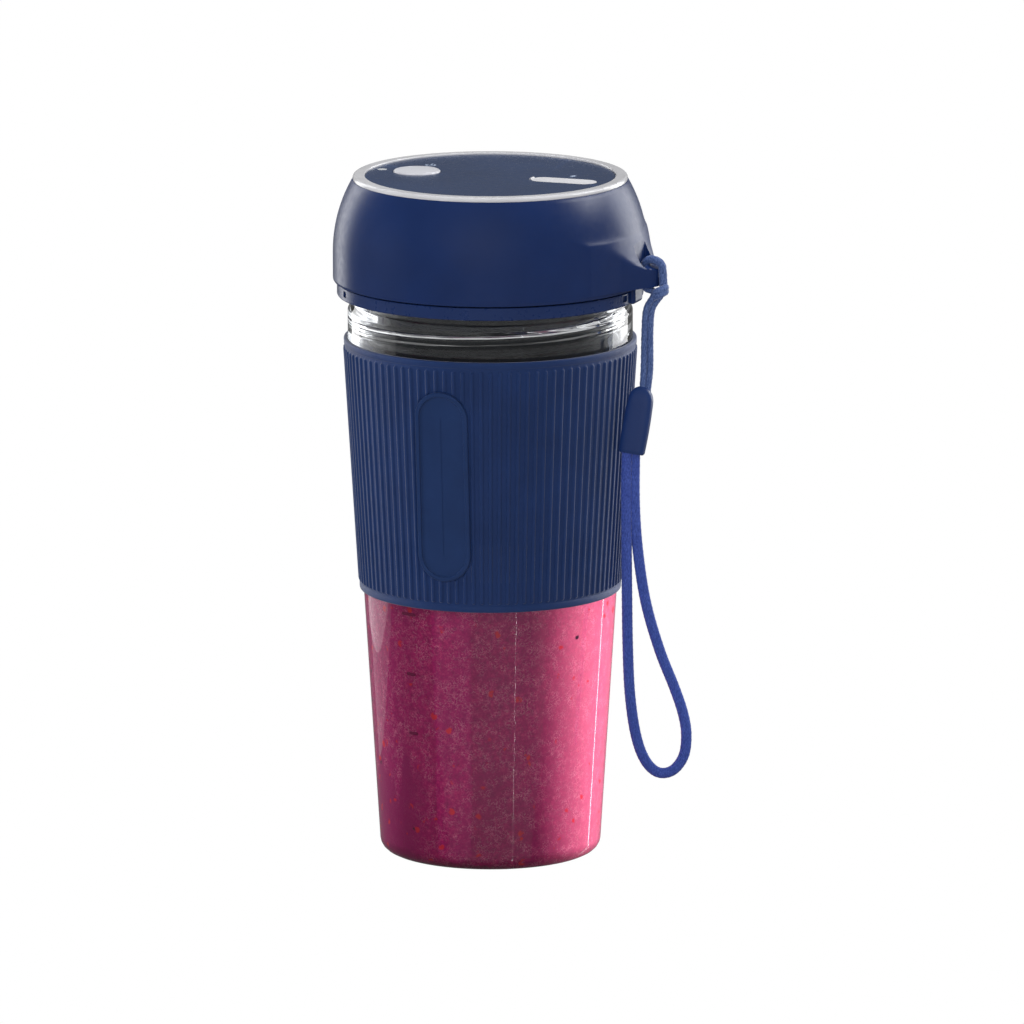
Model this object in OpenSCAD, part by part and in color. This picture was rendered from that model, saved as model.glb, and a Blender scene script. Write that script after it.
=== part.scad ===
// Cordless blender cup. The cup stands on its own base and the motor unit closes it like a lid,
// with the blades hanging into the cup. Origin: centre of the cup's flat base, +Z up.

/* [Cup] */
// Height of the cup's rim above the table
cup_h = 155.5; // [155.5:0.1:155.8]
// Outer radius just above the rounded base
cup_low_r = 30.2; // [29.5:0.1:31]
// Outer radius of the clear neck
neck_r = 38.7; // [38.5:0.1:38.8]
// Thickness of the conical wall
cup_wall = 2.6; // [2:0.1:3]
// Thickness of the cup's floor
floor_t = 3; // [2:0.5:5]

/* [Sleeve] */
// Height of the silicone sleeve's lower edge
sleeve_z = 73; // [60:1:80]
// Height of the silicone sleeve's upper edge
sleeve_top = 142.5; // [138:0.5:143]
// Thickness of the silicone sleeve
sleeve_t = 1.2; // [0.8:0.1:1.4]
// Width of the plain badge
badge_w = 15; // [10:1:20]
// Height of the plain badge
badge_h = 52.5; // [30:0.5:54]

/* [Motor unit] */
// Largest outer radius of the housing
housing_r = 42.7; // [42.7:0.1:43]
// Wall thickness of the housing
housing_wall = 2.3; // [2:0.1:2.3]
// Height of the control panel's face
panel_z = 186.5; // [186.4:0.1:186.6]
// Radius of the control panel
panel_r = 33.9; // [33.5:0.1:33.9]
// Radius of the plug that reaches down into the neck
plug_r = 31.8; // [31:0.1:31.8]

/* [Controls] */
// Radius of the power button
button_r = 6.4; // [5:0.1:6.4]
// Distance of the power button and the charge port from the axis
control_x = 21.2; // [21:0.1:21.4]
// Length of the charge-port cover
port_l = 18.4; // [17:0.1:18.4]
// Width of the charge-port cover
port_w = 7; // [6:0.1:7]

/* [Motor and cells] */
// Radius of the motor can
can_r = 13.85; // [13:0.05:13.85]
// Radius of the drive shaft
shaft_r = 1.585; // [1.5:0.005:1.59]
// Radius of a battery cell
cell_r = 9.15; // [8.5:0.05:9.15]
// Length of a battery cell
cell_l = 35; // [30:1:35]

/* [Blades] */
// Radius swept by the inner blade
inner_blade_r = 22; // [18:1:24]
// Radius swept by the outer blade
outer_blade_r = 20; // [16:1:22]
// Thickness of a blade
blade_t = 1.2; // [0.8:0.1:1.2]

/* [Wrist strap] */
// Diameter of the thin tie cord
tie_d = 1.7; // [1.4:0.1:1.8]
// Diameter of the hand loop's cord
loop_d = 2.6; // [2:0.1:2.6]

/* [Hidden] */
$fn = 96;

eps = 0.01;
slip = 0.05;

// Cup wall: one straight taper from the base rounding to the neck
taper_z0 = 4;
taper_z1 = 140;
base_round = 3.3;
neck_wall = 3;
rim_r = 37.4;
shoulder_z = 150.2;
thread_crest_r = 33.7;
thread_zs = [144.3, 150.3];

// Levels inside the motor unit
collar_z = 154.3;
collar_r = 41.6;
collar_in = 38.9;
groove_z = 157.8;
skirt_z = 158.2;
flange_z = 157;
flange_t = 2;
dome_z = 166;
dome_r = 39.3;
dome_top_z = 185.7;
dome_top_r = 37.4;
ledge_z = 181.5;
seat_z = 184.5;
ledge_in = 29.6;
ring_top = 187;
plug_z = 133;
plug_wall = 2.2;
plug_floor = 2.5;
plate_z = 160;
plate_t = 1;
board_z = 178.8;
board_t = 1.2;
board_top = board_z + board_t;
cell_y = can_r + cell_r + 0.9;
cell_z = plate_z + cell_r + slip;
motor_z = 136.7;
can_top = 170.7;
cap_top = 173.5;
screw_angles = [40, 140, 220, 320];
post_r = 34.5;
board_post_r = 27.5;
vault_z = 172;
vault_r = 37.2;
led_x = -31.3;
motor_screw_y = 8;
motor_lead_y = 9.5;
boss_top = 174.7;
rear_bush_z = 171.5;
armature_z0 = 144;
armature_z1 = 164;
shaft_low = 121.2;
blade_top = 127;
nut_top = blade_top - 2 * blade_t - 0.8;
button_flange_z = 183.5;
stem_top = 182.1;
hinge_pin_r = 0.35;
hinge_pin_l = 2.6;
hinge_x = control_x - port_l / 2;
recess_z = panel_z - 1.3;

// Strap lug on the +X side
lug_z = 159.3;
lug_tip_x = 44.9;
lug_tip_r = 3.6;
slot_x0 = 42.6;
slot_x1 = 45.9;
slot_w = 9.5;
tab_w = 7;

// Wrist strap. The tie cord leaves the bead, loops round the lug's bar and comes back to the bead.
tie_path = [[45, -1.9, 129.5], [45.5, -1.7, 137], [46, -1.4, 147], [47.1, -1.2, 153],
    [47.9, -1.1, 155.8], [46.9, -0.7, 157.2], [44.4, -0.3, 158.8], [44.2, 0, 161.5],
    [44.2, 0, 165], [45.6, 0, 166.6], [47.6, 0, 166.4], [49.3, 0, 165], [49.6, 0.2, 161.5],
    [49.5, 0.6, 158.4], [48.9, 0.9, 156], [48.3, 0.6, 153], [47.3, -0.2, 147],
    [46.8, -0.8, 137], [46.5, -1.3, 129.5]];
// The hand loop leaves the bead's lower end, hangs down and comes back to it.
loop_path = [[42.6, -5.9, 115.5], [42.3, -6, 105], [42.1, -6, 90], [42.1, -6, 75],
    [42.2, -5.9, 60], [42.7, -5.8, 47], [44, -5.3, 36], [46.3, -4.4, 29], [49.6, -3.2, 25.5],
    [53.4, -1.9, 26], [56.2, -0.8, 30], [56.9, -0.6, 36], [56, -0.9, 42], [53.7, -1.4, 49],
    [49.8, -2.6, 59.5], [46.6, -3.6, 72.5], [44.7, -4.3, 86.5], [44.1, -4.6, 100],
    [44.4, -4.3, 115.5]];
knot_c = [48.4, 0, 156.9];
knot_r = 2.2;
bead_low = [43.6, -4.9, 113];
bead_high = [45.9, -1.6, 131];

// Points of a circular arc in a profile, from angle a0 to a1 about (cr, cz)
function arc(cr, cz, r, a0, a1, n) =
    [for (i = [0:n]) let (a = a0 + (a1 - a0) * i / n) [cr + r * cos(a), cz + r * sin(a)]];

// Outer radius of the cup's taper at height z
function cup_r(z) =
    cup_low_r + (neck_r - cup_low_r) * (min(z, taper_z1) - taper_z0) / (taper_z1 - taper_z0);

function unit(v) = v / norm(v);

// Point at parameter s of the smooth curve through pts, where s runs from 0 to len(pts) - 1
function on_curve(pts, s) =
    let (last = len(pts) - 1, i = min(floor(s), last - 1), t = s - i,
        p1 = pts[i], p2 = pts[i + 1],
        p0 = i > 0 ? pts[i - 1] : 2 * p1 - p2,
        p3 = i + 2 <= last ? pts[i + 2] : 2 * p2 - p1)
    0.5 * (2 * p1 + (p2 - p0) * t + (2 * p0 - 5 * p1 + 4 * p2 - p3) * t * t
        + (3 * p1 - p0 - 3 * p2 + p3) * t * t * t);

// Round tube along the smooth curve through pts; side is a direction that the curve never takes
module tube(pts, d, steps, side) {
    sides = 8;
    rings = (len(pts) - 1) * steps;
    at = [for (k = [0:rings]) on_curve(pts, k / steps)];
    way = [for (k = [0:rings]) unit(at[min(k + 1, rings)] - at[max(k - 1, 0)])];
    points = [for (k = [0:rings]) let (u = unit(cross(way[k], side)), v = cross(way[k], u))
        for (j = [0:sides - 1])
            at[k] + d / 2 * (u * cos(360 * j / sides) + v * sin(360 * j / sides))];
    walls = [for (k = [0:rings - 1]) for (j = [0:sides - 1]) let (n = (j + 1) % sides)
        [k * sides + j, k * sides + n, (k + 1) * sides + n, (k + 1) * sides + j]];
    first = [[for (j = [sides - 1:-1:0]) j]];
    final = [[for (j = [0:sides - 1]) rings * sides + j]];
    polyhedron(points, concat(first, walls, final));
}

// Cylinder from height z0 to z1 about the main axis
module rod(r, z0, z1) {
    translate([0, 0, z0]) cylinder(r = r, h = z1 - z0);
}

// Ring from height z0 to z1 about the main axis
module ring(r_in, r_out, z0, z1) {
    rotate_extrude() translate([r_in, z0]) square([r_out - r_in, z1 - z0]);
}

// Block centred on x = y = 0, from height z0 to z1
module block(x, y, z0, z1) {
    translate([-x / 2, -y / 2, z0]) cube([x, y, z1 - z0]);
}

// Stadium outline, long along X
module stadium(l, w) {
    square([l - w, w], center = true);
    for (s = [-1, 1]) translate([s * (l - w) / 2, 0]) circle(d = w);
}

// Stadium block centred on the charge port, from height z0 to z1
module port_stadium(l, w, z0, z1) {
    translate([control_x, 0, z0]) linear_extrude(z1 - z0) stadium(l, w);
}

// Ridge with sloped flanks that stands out from r0 to r1, in the middle of height z
module ridge(r0, r1, z) {
    rotate_extrude() polygon([[r0, z - 1.1], [r1, z - 0.6], [r1, z + 0.6], [r0, z + 1.1]]);
}

// ---- cup ----

module cup() {
    color([0.85, 0.88, 0.92, 0.5]) {
        rotate_extrude() polygon(concat(
            [[0, 0]],
            arc(cup_low_r - base_round - 0.1, base_round, base_round, -90, 0, 5),
            [[cup_low_r, taper_z0], [neck_r, taper_z1], [neck_r, shoulder_z],
                [rim_r, shoulder_z + 2], [rim_r, cup_h], [neck_r - neck_wall - 0.5, cup_h],
                [neck_r - neck_wall, cup_h - 2], [neck_r - neck_wall, taper_z1]],
            [[cup_low_r - cup_wall, floor_t + 3], [cup_low_r - cup_wall - 0.9, floor_t + 0.9],
                [cup_low_r - cup_wall - 3, floor_t], [0, floor_t]]));
        for (z = thread_zs) ring_thread(z);
    }
}

// Raised ring inside the neck
module ring_thread(z) {
    rotate_extrude() polygon([[thread_crest_r, z - 0.5], [neck_r - neck_wall + 0.2, z - 1],
        [neck_r - neck_wall + 0.2, z + 1], [thread_crest_r, z + 0.5]]);
}

module sleeve() {
    low = cup_r(sleeve_z);
    color([0.11, 0.19, 0.35]) {
        rotate_extrude() polygon([
            [low + slip, sleeve_z], [low + sleeve_t, sleeve_z],
            [neck_r + sleeve_t, taper_z1], [neck_r + sleeve_t, sleeve_top],
            [neck_r + slip, sleeve_top], [neck_r + slip, taper_z1]]);
        badge();
    }
}

// Plain badge with a raised rim, on the sleeve's -Y side
module badge() {
    rim_w = 1.2;
    proud = 0.4;
    mid_z = 107.7;
    intersection() {
        rotate_extrude() polygon([
            [cup_r(sleeve_z) + 0.6, sleeve_z], [cup_r(sleeve_z) + sleeve_t + proud, sleeve_z],
            [neck_r + sleeve_t + proud, taper_z1], [neck_r + 0.6, taper_z1]]);
        translate([0, 0, mid_z]) rotate([90, 0, 0]) linear_extrude(50) rotate(90)
            difference() {
                stadium(badge_h, badge_w);
                stadium(badge_h - 2 * rim_w, badge_w - 2 * rim_w);
            }
    }
}

module seal_ring() {
    color("dimgray") ring(34.3, 37.2, cup_h, flange_z);
}

// ---- casing of the motor unit ----

module housing() {
    color([0.11, 0.18, 0.34]) {
        difference() {
            union() {
                difference() {
                    rotate_extrude() polygon(concat(
                        [[0, skirt_z], [housing_r - 0.1, skirt_z], [housing_r, skirt_z + 1]],
                        arc(housing_r - dome_r, dome_z, dome_r, 0, 30, 8),
                        [[dome_top_r, dome_top_z], [36.5, dome_top_z], [36.5, seat_z],
                            [0, seat_z]]));
                    rod(housing_r - housing_wall, skirt_z - 1, vault_z);
                    translate([0, 0, vault_z - eps]) cylinder(r1 = housing_r - housing_wall,
                        r2 = vault_r, h = ledge_z - vault_z + eps);
                    rod(ledge_in, ledge_z - 1, seat_z + 1);
                }
                lug();
            }
            translate([(slot_x0 + slot_x1) / 2, 0, lug_z + 8])
                cube([slot_x1 - slot_x0, slot_w, 18], center = true);
            translate([led_x, 0, 0]) rod(2.6, ledge_z - 1, seat_z + 1);
            for (a = screw_angles) rotate(a) translate([post_r, 0, 0]) {
                rod(1.4, ledge_z - 1, seat_z + 1);
                rod(2.5, seat_z - 1.8, seat_z + 1);
            }
        }
    }
}

// Strap lug: two wings that leave the wall as tangents and meet in a bar, and a tab below them
module lug() {
    inner = housing_r - housing_wall;
    difference() {
        intersection() {
            translate([0, 0, lug_z]) linear_extrude(14) {
                polygon([[inner, 0], [33.6, 26.1], [48.00, 1.84], [48.00, -1.84], [33.6, -26.1]]);
                translate([lug_tip_x, 0]) circle(r = lug_tip_r);
            }
            rotate_extrude() polygon([[0, lug_z], [50, lug_z], [49.4, 163.6], [45.9, 165],
                [44, 168], [42.2, 172.9], [0, 172.9]]);
        }
        rod(inner, lug_z - 1, 175);
    }
    translate([inner, -tab_w / 2, collar_z])
        cube([housing_r + 0.2 - inner, tab_w, lug_z - collar_z + 1]);
}

module collar_ring() {
    notch_angles = [-141, -9];
    color([0.12, 0.2, 0.36]) difference() {
        union() {
            ring(collar_in, collar_r, collar_z, flange_z);
            ring(40.4, collar_r, flange_z, groove_z);
        }
        translate([40.3, -tab_w / 2 - 0.2, collar_z - 1]) cube([5, tab_w + 0.4, 6]);
        for (a = notch_angles) rotate(a) translate([collar_r - 0.8, -1.1, collar_z + 1.2])
            cube([3, 2.2, 1.7]);
    }
}

module top_ring() {
    color([0.88, 0.88, 0.9]) rotate_extrude() polygon([
        [34, seat_z], [36.4, seat_z], [36.4, dome_top_z], [37.3, dome_top_z],
        [37.3, ring_top - 0.5], [36.8, ring_top], [34.5, ring_top], [34, ring_top - 0.4]]);
}

module control_panel() {
    color([0.2, 0.3, 0.44]) difference() {
        rod(panel_r, seat_z, panel_z);
        translate([-control_x, 0, 0]) rod(button_r + 0.2, seat_z - 1, panel_z + 1);
        translate([led_x, 0, 0]) rod(1.35, seat_z - 1, panel_z + 1);
        port_stadium(port_l + 0.4, port_w + 0.4, recess_z, panel_z + 1);
        port_stadium(10.4, 4.4, seat_z - 1, panel_z);
        hinge_pin(hinge_pin_r + slip, hinge_pin_l + 0.2);
    }
}

module led_lens() {
    color("white") translate([led_x, 0, 0]) rod(1.3, seat_z - 1.2, panel_z);
}

module base_cover() {
    color([0.15, 0.16, 0.18]) {
        difference() {
            union() {
                rod(plug_r, plug_z, flange_z + flange_t);
                rod(40.2, flange_z, flange_z + flange_t);
            }
            rod(plug_r - plug_wall, plug_z + plug_floor, flange_z + flange_t + 1);
            rod(5.6, plug_z - 1, plug_z + plug_floor + 1);
            for (s = [-1, 1]) translate([0, s * motor_screw_y, 0])
                rod(2.7, plug_z - 1, plug_z + plug_floor + 1);
        }
        for (z = [141.6, 147.4]) ridge(plug_r - 0.1, 33.3, z);
    }
}

module well_plate() {
    color("lightgray") ring(3, 25, plug_z - 0.8, plug_z);
}

module shaft_seal() {
    color("black") {
        ring(4, 5.5, plug_z, plug_z + 1.8);
        ring(shaft_r + 0.3, 4, plug_z, plug_z + 0.9);
    }
}

// ---- motor ----

module mount_plate() {
    color("silver") difference() {
        ring(5.2, 20, plug_z + plug_floor, motor_z);
        for (s = [-1, 1]) translate([0, s * motor_screw_y, 0]) rod(1.4, plug_z, motor_z + 1);
    }
}

module motor_screws() {
    color("gray") for (s = [-1, 1]) translate([0, s * motor_screw_y, 0]) {
        rod(2.3, plug_z + 1, plug_z + plug_floor);
        rod(1.25, plug_z + plug_floor - eps, motor_z + 2.2);
    }
}

module motor_can() {
    wall = 1;
    color("silver") difference() {
        union() {
            rod(can_r, motor_z, can_top);
            rod(5, motor_z - 1.8, motor_z + eps);
        }
        rod(can_r - wall, motor_z + 1.2, can_top + 1);
        rod(3, motor_z - 3, motor_z + 3);
        for (s = [-1, 1]) translate([0, s * motor_screw_y, 0]) rod(1.3, motor_z - 1, motor_z + 3);
    }
}

module shaft_bush() {
    color("goldenrod") ring(shaft_r + 0.025, 3, motor_z - 1.8, motor_z + 1.8);
}

module rear_bush() {
    color("goldenrod") ring(shaft_r + 0.025, 3, rear_bush_z, boss_top);
}

module motor_magnets() {
    arc_deg = 140;
    color("dimgray") for (a = [-arc_deg / 2, 180 - arc_deg / 2]) rotate(a)
        rotate_extrude(angle = arc_deg) translate([10.6, 142]) square([2.2, 24]);
}

module motor_brushes() {
    color([0.25, 0.23, 0.22]) for (s = [0, 180]) rotate(s)
        translate([3.6, -1.5, 167.6]) cube([5, 3, can_top - 167.6]);
}

module motor_end_cap() {
    color("ivory") difference() {
        union() {
            rod(can_r, can_top, cap_top);
            ring(11, can_r - 1.05, 168.7, can_top + eps);
            rod(4.6, cap_top - eps, boss_top);
        }
        rod(3, rear_bush_z, boss_top + 1);
        rod(2, can_top - 1, rear_bush_z + eps);
    }
}

module motor_leads() {
    color("firebrick") for (s = [-1, 1]) translate([0, s * motor_lead_y, 0]) rod(0.7, cap_top, board_z);
}

// ---- frame, cells and electronics ----

module chassis() {
    color([0.2, 0.2, 0.22]) {
        ring(14.6, 39.6, plate_z - plate_t, plate_z);
        for (a = screw_angles) rotate(a) {
            translate([post_r, 0, 0]) difference() {
                rod(2.6, plate_z - eps, ledge_z);
                rod(1.15, ledge_z - 10, ledge_z + 1);
            }
            translate([board_post_r, 0, 0]) difference() {
                rod(2, plate_z - eps, board_z);
                rod(0.85, board_z - 6, board_z + 1);
            }
        }
        for (sx = [-1, 1]) for (sy = [-1, 1])
            translate([sx * 18.7, sy * 24, 0]) block(1.2, 12, plate_z - eps, 171);
    }
}

module battery_cells() {
    color("teal") for (s = [-1, 1]) translate([0, s * cell_y, cell_z])
        rotate([0, 90, 0]) cylinder(r = cell_r, h = cell_l, center = true);
}

module battery_tabs() {
    tab_t = 0.3;
    color("silver") for (sx = [-1, 1]) for (sy = [-1, 1])
        translate([sx * (cell_l + tab_t) / 2, sy * cell_y, 0]) block(tab_t, 6, cell_z - 4, board_z);
}

module control_board() {
    color("darkgreen") difference() {
        rod(33.2, board_z, board_top);
        for (a = screw_angles) rotate(a) {
            translate([post_r, 0, 0]) rod(3, board_z - 1, board_top + 1);
            translate([board_post_r, 0, 0]) rod(1.1, board_z - 1, board_top + 1);
        }
    }
}

module board_parts() {
    color([0.15, 0.15, 0.16]) {
        translate([0, 14, 0]) block(7, 7, board_top, board_top + 3);
        translate([0, -14, 0]) block(6, 5, board_top, board_top + 1.2);
        translate([8, 4, 0]) block(4, 4, board_top, board_top + 1);
        translate([8, -5, 0]) block(3, 5, board_top, board_top + 1.2);
        translate([-7, -4, 0]) rod(2, board_top, board_top + 3.5);
        translate([-7, 5, 0]) rod(2, board_top, board_top + 3.5);
    }
}

module board_screws() {
    color("gray") for (a = screw_angles) rotate(a) translate([board_post_r, 0, 0]) {
        rod(1.9, board_top, board_top + 1.2);
        rod(0.8, board_top - 5, board_top + eps);
    }
}

module tact_switch() {
    color([0.1, 0.1, 0.1]) translate([-control_x, 0, 0]) difference() {
        block(6, 6, board_top, board_top + 1.4);
        rod(1.75, board_top + 0.2, board_top + 2);
    }
}

module status_led() {
    color("white") translate([led_x, 0, 0]) block(1.6, 2.4, board_top, board_top + 0.9);
}

module charge_socket() {
    color("silver") {
        difference() {
            port_stadium(8.9, 3.2, board_top, board_top + 3.4);
            port_stadium(8.3, 2.6, board_top + 0.5, board_top + 4);
        }
        translate([control_x, 0, 0]) block(6.4, 0.7, board_top + 0.4, board_top + 3);
    }
}

module housing_screws() {
    color("gray") for (a = screw_angles) rotate(a) translate([post_r, 0, 0]) {
        rod(2.2, seat_z - 1.7, seat_z - 0.1);
        rod(1.1, ledge_z - 9, seat_z - 1.6);
    }
}

// ---- rotor ----

module drive_shaft() {
    color("silver") rod(shaft_r, shaft_low, boss_top - 0.3);
}

module armature() {
    color("slategray") difference() {
        rod(9.9, armature_z0, armature_z1);
        for (a = [0:72:288]) rotate(a) translate([4.5, -1.6, armature_z0 - 1])
            cube([4, 3.2, armature_z1 - armature_z0 + 2]);
        rod(shaft_r + 0.015, armature_z0 - 1, armature_z1 + 1);
    }
}

module motor_windings() {
    color("peru") {
        for (a = [0:72:288]) rotate(a) translate([4.6, -1.5, armature_z0 - 0.1])
            cube([3.8, 3, armature_z1 - armature_z0 + 0.2]);
        for (z = [armature_z0 - 2.1, armature_z1 + 0.1]) ring(4.6, 8.4, z, z + 2);
    }
}

module commutator() {
    color("peru") difference() {
        ring(shaft_r + 0.015, 3.2, 166.9, 170.3);
        for (a = [0:120:240]) rotate(a) translate([2.6, -0.2, 166]) cube([1, 0.4, 5]);
    }
}

module blade_hub() {
    color("silver") {
        ring(shaft_r + 0.015, 5, blade_top, blade_top + 2.5);
        ring(shaft_r + 0.015, 3.6, blade_top + 2.5 - eps, blade_top + 4.6);
    }
}

// Two-armed blade with its flat middle at height z. Each arm is raised by rise degrees beyond
// the bend, and has a swept tip.
module blade(z, reach, rise, turn) {
    bend = 8;
    half = 4.6;
    lap = 0.3;
    run = reach - bend;
    rotate(turn) difference() {
        translate([0, 0, z]) {
            block(2 * (bend + lap), 2 * half, 0, blade_t);
            for (a = [0, 180]) rotate(a) translate([bend, 0, blade_t / 2]) rotate([0, -rise, 0])
                translate([0, 0, -blade_t / 2]) linear_extrude(blade_t)
                    polygon([[0, -half], [run - 1.5, -half], [run, -half + 1.5],
                        [run - 2, 0], [run - 6, 3], [run - 9, half], [0, half]]);
        }
        rod(shaft_r + 0.015, z - 5, z + 5);
    }
}

module inner_blade() {
    color("gainsboro") blade(blade_top - blade_t, inner_blade_r, 18, 0);
}

module outer_blade() {
    color("gainsboro") blade(blade_top - 2 * blade_t, outer_blade_r, -34, 90);
}

module blade_washer() {
    color("silver") ring(shaft_r + 0.015, 4.4, nut_top, blade_top - 2 * blade_t);
}

module blade_nut() {
    color("silver") difference() {
        union() {
            translate([0, 0, nut_top - 2.8]) cylinder(r = 3.9, h = 2.8, $fn = 6);
            rotate_extrude() polygon(concat([[0, nut_top - 2.7]],
                [[2.9, nut_top - 2.7]], arc(0, nut_top - 2.7, 2.9, 0, -90, 6)));
        }
        rod(shaft_r + 0.015, nut_top - 2.8, nut_top + 1);
    }
}

// ---- controls ----

module power_button() {
    color([0.84, 0.84, 0.87]) translate([-control_x, 0, 0]) {
        rotate_extrude() polygon([[0, button_flange_z], [button_r + 1.2, button_flange_z],
            [button_r + 1.2, seat_z], [button_r, seat_z], [button_r, ring_top - 0.4],
            [button_r - 0.4, ring_top - 0.05], [0, ring_top]]);
        rod(2.2, stem_top, button_flange_z + eps);
    }
}

module switch_stem() {
    color("gray") translate([-control_x, 0, 0]) rod(1.6, board_top + 0.95, stem_top);
}

module port_cover() {
    color([0.85, 0.85, 0.87]) {
        port_stadium(port_l, port_w, recess_z + 0.1, panel_z);
        port_stadium(9.6, 3.6, board_top + 3.6, recess_z + 0.1 + eps);
        hinge_pin(hinge_pin_r, hinge_pin_l);
    }
}

// Barrel on the port cover's hinge axis
module hinge_pin(r, l) {
    translate([hinge_x, 0, panel_z]) rotate([90, 0, 0]) cylinder(r = r, h = l, center = true);
}

// ---- wrist strap ----

module tie_cord() {
    color([0.2, 0.3, 0.5]) tube(tie_path, tie_d, 4, [0, 1, 0]);
}

module strap_knot() {
    color([0.2, 0.3, 0.5]) translate(knot_c) sphere(r = knot_r);
}

// Bead: a tapered block with round corners, leaning from the loop to the tie cord
module strap_bead() {
    way = unit(bead_high - bead_low);
    lean_x = atan2(way[0], way[2]);
    lean_y = -asin(way[1]);
    color([0.12, 0.2, 0.37]) translate(bead_low) rotate([0, lean_x, 0]) rotate([lean_y, 0, 0])
        hull() {
            for (s = [-1, 1]) translate([s * 1.9, 0, 0]) cylinder(r = 1.9, h = 6, $fn = 32);
            for (s = [-1, 1]) translate([s * 1.5, 0, 16]) sphere(r = 2.1, $fn = 32);
        }
}

module hand_loop() {
    color([0.22, 0.29, 0.6]) tube(loop_path, loop_d, 3, [0.34, -0.94, 0]);
}

cup();
sleeve();
seal_ring();
housing();
collar_ring();
top_ring();
control_panel();
led_lens();
base_cover();
well_plate();
shaft_seal();
mount_plate();
motor_screws();
motor_can();
shaft_bush();
motor_magnets();
motor_brushes();
motor_end_cap();
rear_bush();
motor_leads();
chassis();
battery_cells();
battery_tabs();
control_board();
board_parts();
board_screws();
tact_switch();
status_led();
charge_socket();
housing_screws();
drive_shaft();
armature();
motor_windings();
commutator();
blade_hub();
inner_blade();
outer_blade();
blade_washer();
blade_nut();
power_button();
switch_stem();
port_cover();
tie_cord();
strap_knot();
strap_bead();
hand_loop();
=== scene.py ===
import math

import bmesh
import bpy
import numpy as np
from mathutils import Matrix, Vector


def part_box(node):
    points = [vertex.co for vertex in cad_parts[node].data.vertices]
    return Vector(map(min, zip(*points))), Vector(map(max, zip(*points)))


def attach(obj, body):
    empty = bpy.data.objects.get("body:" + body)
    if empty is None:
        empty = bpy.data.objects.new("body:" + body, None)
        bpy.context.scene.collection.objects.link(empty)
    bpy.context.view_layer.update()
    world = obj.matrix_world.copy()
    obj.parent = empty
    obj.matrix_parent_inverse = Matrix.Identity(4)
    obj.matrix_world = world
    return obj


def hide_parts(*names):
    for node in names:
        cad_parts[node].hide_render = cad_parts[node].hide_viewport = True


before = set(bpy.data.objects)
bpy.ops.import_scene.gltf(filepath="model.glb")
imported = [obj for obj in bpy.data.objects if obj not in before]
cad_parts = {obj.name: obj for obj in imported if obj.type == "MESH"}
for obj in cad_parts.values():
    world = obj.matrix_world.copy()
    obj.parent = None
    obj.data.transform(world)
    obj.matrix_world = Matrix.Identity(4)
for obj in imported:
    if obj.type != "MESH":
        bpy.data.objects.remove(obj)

MM = 0.001
TAU = 2 * math.pi
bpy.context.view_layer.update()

# Levels and radii of the object in millimetres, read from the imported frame.


def span(node):
    """Lowest and highest corner of a CAD node, in millimetres."""
    low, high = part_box(node)
    return low / MM, high / MM


cup_high = span("cup")[1]
sleeve_low, sleeve_high = span("sleeve")
collar_low, collar_high = span("collar_ring")
ring_low, ring_high = span("top_ring")
panel_high = span("control_panel")[1]

# ---------------------------------------------------------------- camera

AZIMUTH, ELEVATION = math.radians(20), math.radians(11.6)
DISTANCE, LENS, SENSOR = 3.2, 413, 36
AIM_RIGHT, AIM_HEIGHT = 0.0059, 0.0936
RIGHT = Vector((math.cos(AZIMUTH), math.sin(AZIMUTH), 0))
TOWARD = Vector((math.sin(AZIMUTH), -math.cos(AZIMUTH), 0))
UP = Vector((0, 0, 1))


def place(right, toward, up):
    """A point given by how far it lies to the camera's right, towards the camera, and up."""
    return RIGHT * right + TOWARD * toward + UP * up


def aim(obj, target):
    obj.rotation_euler = (target - obj.location).to_track_quat("-Z", "Y").to_euler()


def make_camera():
    data = bpy.data.cameras.new("camera")
    data.lens = LENS
    data.sensor_width = SENSOR
    data.clip_end = 50
    camera = bpy.data.objects.new("camera", data)
    bpy.context.scene.collection.objects.link(camera)
    target = place(AIM_RIGHT, 0, AIM_HEIGHT)
    camera.location = target + place(
        0, DISTANCE * math.cos(ELEVATION), DISTANCE * math.sin(ELEVATION)
    )
    aim(camera, target)
    bpy.context.scene.camera = camera


make_camera()

# ---------------------------------------------------------------- mesh helpers


def make_object(name, verts, faces, material, sharp=40):
    """A smooth-shaded mesh from points in millimetres. Edges over sharp degrees stay crisp."""
    mesh = bpy.data.meshes.new(name)
    mesh.from_pydata((np.asarray(verts, float) * MM).tolist(), [], faces)
    mesh.update()
    obj = bpy.data.objects.new(name, mesh)
    bpy.context.scene.collection.objects.link(obj)
    tidy_mesh(mesh, sharp)
    if material is not None:
        mesh.materials.append(material)
    return obj


def tidy_mesh(mesh, sharp):
    """Welds doubled points, turns the faces outwards and marks edges over sharp degrees."""
    bm = bmesh.new()
    bm.from_mesh(mesh)
    bmesh.ops.remove_doubles(bm, verts=bm.verts, dist=1e-6)
    bmesh.ops.recalc_face_normals(bm, faces=bm.faces)
    limit = math.radians(sharp)
    for face in bm.faces:
        face.smooth = True
    for edge in bm.edges:
        if len(edge.link_faces) == 2 and edge.calc_face_angle(0) > limit:
            edge.smooth = False
    bm.to_mesh(mesh)
    bm.free()


def grid_faces(rows, cols, wrap_rows=False):
    """Quads of a grid whose columns wrap round."""
    r = np.arange(rows if wrap_rows else rows - 1)[:, None]
    c = np.arange(cols)[None, :]
    r2, c2 = (r + 1) % rows, (c + 1) % cols
    quads = np.stack([r * cols + c, r * cols + c2, r2 * cols + c2, r2 * cols + c], -1)
    return quads.reshape(-1, 4).tolist()


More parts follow.
